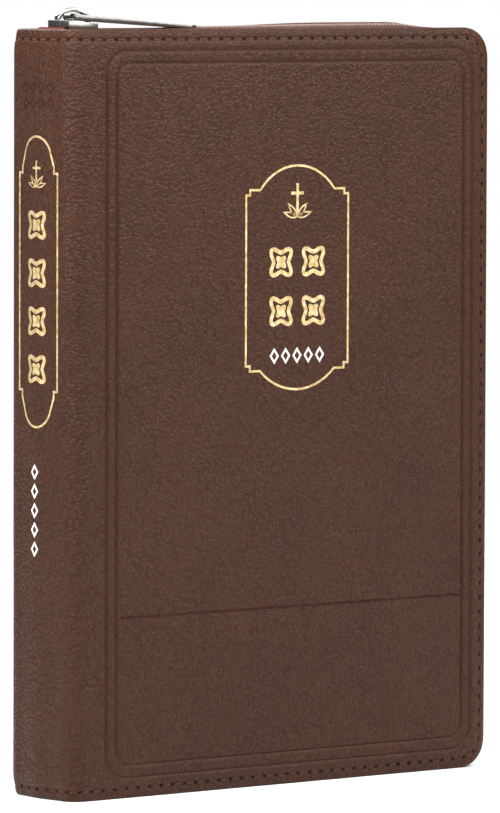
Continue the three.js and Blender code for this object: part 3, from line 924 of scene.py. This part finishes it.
# %% Stamp the front cover
def rosettes(name, centres, radius, width):
    parts = []
    for a, b in centres:
        parts.append(line_mark("ring", moved(rosette(radius), a, b), width))
        parts.append(solid_mark("heart", moved(rosette(radius * 0.42), a, b)))
    return joined(parts, name)


def spray(name, a, b, height):
    """A small cross between two pairs of leaves."""
    parts = [solid_mark("cross", moved(latin_cross(0.86 * height), a, b + 0.07 * height))]
    for lean in (-1.3, -0.72, 0.72, 1.3):
        leaf = line_mark("leaf", along(leaf_spray(0.56 * height), 1.2), 0.045 * height)
        turn = Matrix.Translation((a, 0, b - 0.46 * height)) @ Matrix.Rotation(lean, 4, "Y")
        leaf.data.transform(turn)
        parts.append(leaf)
    return joined(parts, name)


FOIL_LIFT = -0.07


def stamped(piece, surface, finish):
    flat_points(piece, lambda p: p + (0, FOIL_LIFT, 0))
    outward(lay_on(piece, surface))
    return finished(piece, finish, angle=30)


PANEL_X, PANEL_Z = SPINE_X + 76.8, 138.8
panel_outline = cartouche(18.3, 24.7, 13.2, 31.2, -25.2, -30.6)
title_places = [(PANEL_X + a, PANEL_Z + b) for a in (-5.7, 5.7) for b in (4.6, -8.8)]
note_places = [(PANEL_X + 4.0 * i, PANEL_Z - 21.0, 0.0) for i in range(-2, 3)]
panel_line = line_mark("front_gold_cartouche", moved(panel_outline, PANEL_X, PANEL_Z), 0.62)
front_marks = [
    stamped(panel_line, front_surface, GOLD),
    stamped(spray("front_gold_emblem", PANEL_X, PANEL_Z + 21.2, 9.6), front_surface, GOLD),
    stamped(rosettes("front_gold_rosettes", title_places, 5.3, 1.15), front_surface, GOLD),
]
note = line_mark("note", lozenge(3.2, 4.4), 0.55)
front_marks.append(stamped(copies_of(note, note_places, "front_white_lozenges"), front_surface, WHITE))
print("marks on the front cover:", len(front_marks))

# %% Stamp the spine
SPINE_PANEL_Z = 139.6
spine_outline = cartouche(8.6, 30.6, 5.4, 39.0, -31.2, -39.6)
spine_title = [(0.0, SPINE_PANEL_Z + 15.0 - 12.9 * i) for i in range(4)]
spine_note = [(-0.6, 88.2 - 5.2 * i, 0.0) for i in range(5)]
spine_line = line_mark("spine_gold_cartouche", moved(spine_outline, 0, SPINE_PANEL_Z), 0.6)
spine_marks = [
    stamped(spine_line, spine_surface, GOLD),
    stamped(spray("spine_gold_emblem", 0.0, SPINE_PANEL_Z + 28.6, 7.4), spine_surface, GOLD),
    stamped(rosettes("spine_gold_rosettes", spine_title, 5.0, 1.1), spine_surface, GOLD),
]
note = line_mark("note", lozenge(3.2, 4.2), 0.55)
spine_marks.append(stamped(copies_of(note, spine_note, "spine_white_lozenges"), spine_surface, WHITE))
print("marks on the spine:", len(spine_marks))

# %% [markdown]
# ## Blind marks
# Some marks are pressed without foil, and only their shadow shows: a dotted line across the foot
# of the front panel, and a row of lozenges near the head of the spine.

# %% Blind marks on the front cover and the spine
DOT_PITCH = 1.0
dot_low, dot_high = INNER_FRAME[0][0] + 0.7, INNER_FRAME[1][0] - 0.7
dot_count = round((dot_high - dot_low) / DOT_PITCH)
dot_places = [(dot_low + (i + 0.5) * DOT_PITCH, DOTTED_LINE_Z, 0.0) for i in range(dot_count)]
dot = flat_points(pit_model(), lambda p: p * (0.5, 1.0, 0.8) + (0, 0.02, 0))
front_dots = lay_on(copies_of(dot, dot_places, "front_blind_dotted_line"), front_surface)
outward(front_dots)
# The dots are painted near-black as their shade.
finished(front_dots, HOLE_SHADE)
spine_blind_places = [(a, z, 0.0) for z in (191.5, 187.2) for a in (-5.4, -1.8, 1.8, 5.4)]
blind_mark = line_mark("blind", lozenge(3.0, 3.2), 0.35)
spine_blind = copies_of(blind_mark, spine_blind_places, "spine_blind_lozenges")
# The lozenges are painted darker as their shade.
stamped(spine_blind, spine_surface, BLIND_SHADE)
print("dots in the blind line:", dot_count)

# %% [markdown]
# ## The zip's tapes
# A woven tape is sewn inside each cover's edge and arches up to the coil in the middle. Between
# its ends it rises a little over the leather, and at the slider it is pulled flat. It is a grid
# laid along the three open edges, given its thickness by a Solidify modifier.


# %% Make the two tapes
TAPE_START, COIL_START = 6.6, 9.4
TAPE_FLAT, TAPE_HALFWAY, TAPE_TOP, TAPE_SIDE = -0.62, -0.1, 0.3, -0.8
TAPE_REACH = 13.6
TAPE_BORDER = -1.0  # the tape's sewn border lies this far below the leather's edge
AFTER_SLIDER, ALONG_HEAD, FORE_CORNER = (24, 52), (50, 110), (124, 142)  # where the tape's height changes
SIDE_END = TOP_RUN + CORNER_RUN + SIDE_RUN
BACK_SWELL = 1.2  # the back tape bulges this much along the head


def tape_crest(s):
    """How far the tape's middle stands above the covers' edges along its run."""
    crest = TAPE_FLAT + (TAPE_HALFWAY - TAPE_FLAT) * ramp(s, *AFTER_SLIDER)
    crest = crest + (TAPE_TOP - TAPE_HALFWAY) * ramp(s, *ALONG_HEAD)
    return crest + (TAPE_SIDE - TAPE_TOP) * ramp(s, *FORE_CORNER)


def zip_tape(name, side):
    head_part = [(TAPE_START, 2.2), (TOP_RUN, 0.9), (TOP_RUN + CORNER_RUN, 2.6)]
    runs = spaced(*head_part, (SIDE_END, 0.9), (SIDE_END + CORNER_RUN, 2.2), (ZIP_RUN - TAPE_START, 1.0))
    across = spaced((1.3, 0.8), (5.0, 1.1), (TAPE_REACH, 1.0))
    piece = grid_piece(name, len(across), len(runs))
    y, s = (v.ravel() for v in np.meshgrid(across, runs))
    crest = tape_crest(s)
    share = (1 - y / TAPE_REACH) ** 2 if side < 0 else 1 - (y / TAPE_REACH) ** 2.6
    height = TAPE_BORDER + (crest - TAPE_BORDER) * share
    if side > 0:
        swell = BACK_SWELL * ramp(s, 40, 100) * (1 - ramp(s, 130, 136))
        height = height + swell * np.exp(-(((y - 5.5) / 2.6) ** 2))
    height = height - 0.35 * np.clip((2.6 - y) / 1.3, 0, 1) ** 2
    set_points(piece, np.stack([s, -height, side * y], 1))
    lay_on(piece, zip_surface)
    outward(piece)
    modify(piece, "SOLIDIFY", thickness=0.55 * MM, offset=-side, use_even_offset=True)
    outward(piece)
    return finished(piece, TAPE, slot="zip_tape", angle=60)


front_tape, back_tape = zip_tape("front_zip_tape_weave", -1), zip_tape("back_zip_tape_weave", 1)
print("faces of a tape:", len(front_tape.data.polygons))

# %% [markdown]
# ## The coil
# Each half of the coil is one filament wound into loops. A loop's head bulges and hooks between
# two heads of the other half. One loop is shaped from a low cylinder and copied along the tape, so
# it has few faces: there are hundreds.


# %% Make the two coils
COIL_PITCH = 1.32
COIL_LIFT = -0.2  # the middle of a loop's wire, from the tape's crest
COIL_RISE = 0.6  # along the head the coil stands this much prouder of its tape
WIRE_WIDTH, WIRE_HEIGHT, LOOP_WIDTH = 0.29, 0.42, 2.25  # half widths of the wire, and a loop's reach
LOOP_OVERLAP = 0.35  # how far a loop's head reaches past the middle


def coil_loop():
    bpy.ops.mesh.primitive_cylinder_add(vertices=6, radius=1, depth=2)
    piece = newly_added("coil_loop")
    edit(piece, (bpy.ops.mesh.subdivide, {"number_cuts": 1}))

    def shape(p):
        t = (np.clip(p[:, 2], -1, 1) + 1) / 2
        head = 1 + 0.3 * np.exp(-(((t - 0.16) / 0.16) ** 2))
        close = np.where((t < 0.01) | (t > 0.99), 0.62, 1.0)
        arch = 0.5 * (2 * t - 1) ** 2
        width, height = WIRE_WIDTH * head * close, WIRE_HEIGHT * close
        return np.stack([p[:, 0] * width, p[:, 1] * height + arch, 0.02 + LOOP_WIDTH * t], 1)

    return flat_points(piece, shape)


def zip_coil(name, side):
    count = int((ZIP_RUN - 2 * COIL_START) / COIL_PITCH)
    shift = COIL_PITCH / 2 if side > 0 else 0.0
    places = [(COIL_START + shift + i * COIL_PITCH, 0.0, 0.0) for i in range(count)]
    piece = copies_of(coil_loop(), places, name)

    def follow(p):
        s = p[:, 0]
        proud = COIL_RISE * ramp(s, *AFTER_SLIDER) * (1 - ramp(s, *FORE_CORNER))
        height = tape_crest(s) + COIL_LIFT + proud
        return np.stack([s, p[:, 1] - height, side * (p[:, 2] - LOOP_OVERLAP)], 1)

    lay_on(flat_points(piece, follow), zip_surface)
    outward(piece)
    return finished(piece, COIL, slot="zip_coil", angle=60)


front_coil, back_coil = zip_coil("front_zip_coil_loops", -1), zip_coil("back_zip_coil_loops", 1)
print("faces of a coil:", len(front_coil.data.polygons))

# %% [markdown]
# ## Pieces dressed over their CAD solids
# Where the CAD solid already has the real shape, its copy is the start: loose triangles are merged,
# flat facets are joined into faces, and a bevel breaks every sharp edge, as tumbling, cutting or
# folding does on the real piece. The edge's width is what tells cast metal from cut board.


# %% Dress a CAD node
def dressed(node, name, edge, *materials, slot=None, segments=2, flat=1.0, angle=35):
    piece = bpy.data.objects.new(name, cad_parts[node].data.copy())
    bpy.context.collection.objects.link(piece)
    piece.data.name = name
    edit(
        piece,
        (bpy.ops.mesh.remove_doubles, {"threshold": 1e-6}),
        (bpy.ops.mesh.dissolve_limited, {"angle_limit": math.radians(flat)}),
    )
    modify(piece, "BEVEL", width=edge * MM, segments=segments, limit_method="ANGLE",
           angle_limit=math.radians(28), use_clamp_overlap=True)
    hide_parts(node)
    return finished(piece, *materials, slot=slot, angle=angle)


def cut_edges_gilded(piece):
    """The second material goes on the faces that aren't the leaves' front or back."""
    for face in piece.data.polygons:
        face.material_index = 0 if abs(face.normal.y) > 0.7 else 1
    return piece


slider = dressed("slider_body", "slider_shell", 0.35, METAL, slot="slider_metal", segments=3)
bail = dressed("slider_bail", "slider_arch", 0.3, METAL, slot="slider_metal", segments=3, angle=50)
pull = dressed("pull_tab", "pull_plate", 0.5, METAL, slot="slider_metal", segments=4)
head_end = dressed("zip_head_end", "zip_head_tape_end", 0.3, TAPE_END, slot="zip_tape")
foot_end = dressed("zip_foot_end", "zip_foot_tape_end", 0.3, TAPE_END, slot="zip_tape")
print("metal pieces:", slider.name, bail.name, pull.name)

# %% [markdown]
# ## The text block
# Sewn sections of thin leaves are glued at the spine and trimmed, and their edges are gilded. Each
# section keeps its own piece. The leaves that open are one piece from the fold to the fore edge,
# with grid lines close together at the gutter.

# %% Sections, ribbons and headbands
sections = []
for number in range(1, 13):
    label = f"{number:02d}"
    names = f"text_section_{label}", f"section_{label}_leaves"
    sections.append(cut_edges_gilded(dressed(*names, 0.12, LEAF, GILT, slot="bible_paper")))
ribbons = [dressed(f"ribbon_marker_{i}", f"ribbon_{i}_satin", 0.05, SATIN, slot="ribbon") for i in (1, 2)]
headbands = [
    dressed("headband", "headband_weave", 0.1, BAND, slot="headband"),
    dressed("tailband", "tailband_weave", 0.1, BAND, slot="headband"),
]
print("sections:", len(sections))


# %% Leaves in one piece from the fold to the fore edge
BLOCK_X, PAGE_FORE_X = -68.5, 64.5
PAGE_LOW, PAGE_HIGH, PAGE_CORNER = 5.5, 201.5, 6.0


def page_outline(x, z):
    """Rounds the fore-edge corners of a leaf's grid."""
    u = np.clip((x - PAGE_FORE_X + PAGE_CORNER) / PAGE_CORNER, 0, 1)
    middle = (PAGE_LOW + PAGE_HIGH) / 2
    reach = (PAGE_HIGH - PAGE_LOW) / 2 - PAGE_CORNER
    v = np.clip((np.abs(z - middle) - reach) / PAGE_CORNER, 0, 1)
    both = (u > 0) & (v > 0)
    side = np.sign(z - middle)
    round_x = PAGE_FORE_X - PAGE_CORNER + PAGE_CORNER * u * np.sqrt(1 - v * v / 2)
    round_z = middle + side * (reach + PAGE_CORNER * v * np.sqrt(1 - u * u / 2))
    return np.where(both, round_x, x), np.where(both, round_z, z)


def leaf_stack(name, low_y, high_y, replaced, *materials, slot):
    """A stack of leaves between two Y values, as a grid with a wall."""
    gutter = [(BLOCK_X, 0.5), (BLOCK_X + 12, 4.0)]
    columns = spaced(*gutter, (PAGE_FORE_X - PAGE_CORNER, 0.8), (PAGE_FORE_X, 1.0))
    foot = [(PAGE_LOW, 0.8), (PAGE_LOW + PAGE_CORNER, 6.0)]
    rows = spaced(*foot, (PAGE_HIGH - PAGE_CORNER, 0.8), (PAGE_HIGH, 1.0))
    piece = grid_piece(name, len(columns), len(rows))
    x, z = (v.ravel() for v in np.meshgrid(columns, rows))
    x, z = page_outline(x, z)
    set_points(piece, np.stack([x, np.full_like(x, low_y), z], 1) * MM)
    outward(piece)
    up = piece.data.polygons[0].normal.y
    modify(piece, "SOLIDIFY", thickness=(high_y - low_y) * MM, offset=1.0 if up > 0 else -1.0)
    outward(piece)
    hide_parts(*replaced)
    return finished(piece, *materials, slot=slot)


def with_fold(node):
    """A leaf's node and the node of its fold at the spine."""
    return [node, node + "_fold"]


front_endleaf = leaf_stack(
    "front_flyleaf_sheet", -11.2, -10.9, with_fold("front_flyleaf"), ENDPAPER, slot="endpaper"
)
opening_leaves = cut_edges_gilded(
    leaf_stack("first_leaves_stack", -10.6, -6.6, with_fold("first_leaves"), LEAF, GILT, slot="bible_paper")
)
back_endleaf = leaf_stack(
    "back_flyleaf_sheet", 10.9, 11.2, with_fold("back_flyleaf"), ENDPAPER, slot="endpaper"
)
print("faces of the first leaves:", len(opening_leaves.data.polygons))

# %% [markdown]
# ## Inside the case
# Greyboard stiffens each cover under its foam, a woven lining covers the turned leather, and an
# endpaper is pasted over it. At the spine lie a stiffener, a paper liner and the gauze that holds
# the sections. Few of them show, but each has its own finish.

# %% Linings, boards, padding and spine layers
inside = {"front_cover": [], "back_cover": [], "root": []}
for side in ("front", "back"):
    on_cover = inside[side + "_cover"]
    on_cover.append(dressed(side + "_board", side + "_greyboard", 0.3, GREYBOARD, slot="cover_board"))
    on_cover.append(dressed(side + "_lining", side + "_lining_cloth", 0.12, LINING, slot="lining"))
    pasted = dressed(side + "_pastedown", side + "_pasted_endpaper", 0.05, ENDPAPER, slot="endpaper")
    on_cover.append(pasted)
    padding = dressed(side + "_foam", side + "_foam_padding", 0.38, FOAM, slot="padding_foam", segments=3)
    on_cover.append(padding)
inside["root"] += [
    dressed("spine_stiffener", "spine_greyboard", 0.25, GREYBOARD, slot="cover_board"),
    dressed("spine_lining", "spine_lining_cloth", 0.12, LINING, slot="lining"),
    dressed("spine_paper_liner", "spine_kraft_liner", 0.08, KRAFT, slot="spine_liner"),
    dressed("spine_mull", "spine_cotton_mull", 0.08, MULL, slot="mull"),
]
print("pieces inside the case:", sum(len(pieces) for pieces in inside.values()))

# %% [markdown]
# ## Bodies
# Most pieces ride on the body that carries them in the real book. The covers' leather, their
# stitches and the opening leaves have their places baked into their points.

# %% Bake, ride and replace
for piece in (front_case, *front_sewing):
    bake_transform(piece)
for piece in (back_case, *back_sewing):
    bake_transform(piece)
leaves = {"front_flyleaf": front_endleaf, "first_leaves": opening_leaves, "back_flyleaf": back_endleaf}
for body, piece in leaves.items():
    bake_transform(piece)
riders = {
    "front_cover": [*front_marks, front_dots, front_tape, front_coil, *inside["front_cover"]],
    "back_cover": [back_tape, back_coil, *inside["back_cover"]],
    "slider": [slider, bail],
    "pull_tab": [pull],
    "root": [spine_case, *spine_sewing, *spine_marks, spine_blind, *sections, *ribbons, *headbands,
             head_end, foot_end, *inside["root"]],
}
for body, pieces in riders.items():
    for piece in pieces:
        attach(piece, body)
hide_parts("front_leather")
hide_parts("back_leather")
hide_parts("spine_leather")
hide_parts("front_thread")
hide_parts("back_thread")
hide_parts("spine_head_thread", "spine_foot_thread")
for side, tape, coil in (("front", front_tape, front_coil), ("back", back_tape, back_coil)):
    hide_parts(side + "_zip_tape")
    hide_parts(side + "_zip_coil")
print("pieces that ride:", sum(len(pieces) for pieces in riders.values()))

# %% [markdown]
# ## Studio
# A white paper floor, an even white surround, and soft lights: one overhead, one from the front
# right and one from the left, with two narrow strips close to the head that rake across the grain.
# Two cards give the slider something to reflect, and a wash keeps the floor white. The surround
# looks white to the camera but lights the book less than a white room would, so that the leather
# keeps its depth. The camera stands two metres away on a long lens.

# %% Floor, light and camera
bpy.ops.mesh.primitive_plane_add(size=1.3)
floor = newly_added("floor")
floor_paper, floor_tree = material("floor_paper", Roughness=0.95)
speckle = add(floor_tree, "TexNoise", {"Scale": 60.0, "Detail": 3.0}, "Fac")
floor.data.materials.append(surfaced(floor_paper, speckle, "FAFAFA", "FFFFFF"))

world = bpy.data.worlds.new("studio")
bpy.context.scene.world = world
world.use_nodes = True
SURROUND = 0.2
surround = world.node_tree
seen = surround.nodes["Background"]
seen.inputs["Color"].default_value = (1, 1, 1, 1)
seen.inputs["Strength"].default_value = 1.0
lighting = add(surround, "Background", {"Strength": SURROUND})
camera_ray = add(surround, "LightPath", {}, "Is Camera Ray")
mix = add(surround, "MixShader", {0: camera_ray, 1: lighting, 2: seen.outputs[0]})
surround.links.new(mix, surround.nodes["World Output"].inputs["Surface"])


def softbox(name, place, aim, size, watts):
    light = bpy.data.objects.new(name, bpy.data.lights.new(name, "AREA"))
    bpy.context.collection.objects.link(light)
    light.data.shape = "RECTANGLE"
    light.data.size, light.data.size_y = size
    light.data.energy = watts
    light.location = place
    light.rotation_euler = (Vector(aim) - Vector(place)).to_track_quat("-Z", "Y").to_euler()


softbox("overhead", (-0.15, -0.4, 0.95), (0, 0, 0.1), (1.0, 0.7), 3.5)
softbox("front", (1.3, -1.2, 0.85), (0, 0, 0.1), (0.6, 0.7), 6)
softbox("head_strip", (0.0, -0.26, 0.4), (0, 0, 0.19), (0.8, 0.12), 2.25)
softbox("spine_strip", (-0.34, -0.02, 0.38), (-0.07, 0, 0.18), (0.3, 0.12), 1.6)
softbox("high_right", (0.62, -0.1, 0.85), (0, 0, 0.15), (1.3, 1.0), 3.5)
softbox("metal_card", (1.1, -1.35, 0.42), (-0.04, 0, 0.2), (0.7, 0.4), 2.0)
softbox("floor_wash", (0.2, 0.9, 0.9), (0.25, 0.3, 0.0), (0.9, 0.6), 11)
softbox("left", (-1.5, 0.45, 0.6), (-0.07, 0, 0.1), (0.4, 0.9), 7.5)

camera = bpy.data.objects.new("camera", bpy.data.cameras.new("camera"))
bpy.context.collection.objects.link(camera)
camera.data.lens = 318.18
camera.data.clip_end = 100
camera.location = (-1.24015, -1.53233, 0.22992)
turn, tilt, roll = math.radians(38.974), math.radians(3.6824), math.radians(0.2)
aim = Matrix.Rotation(-turn, 4, "Z") @ Matrix.Rotation(math.pi / 2 - tilt, 4, "X")
camera.rotation_euler = (aim @ Matrix.Rotation(roll, 4, "Z")).to_euler()
bpy.context.scene.camera = camera
bpy.context.scene.view_settings.view_transform = "Standard"
print("camera at", [round(v, 3) for v in camera.location])
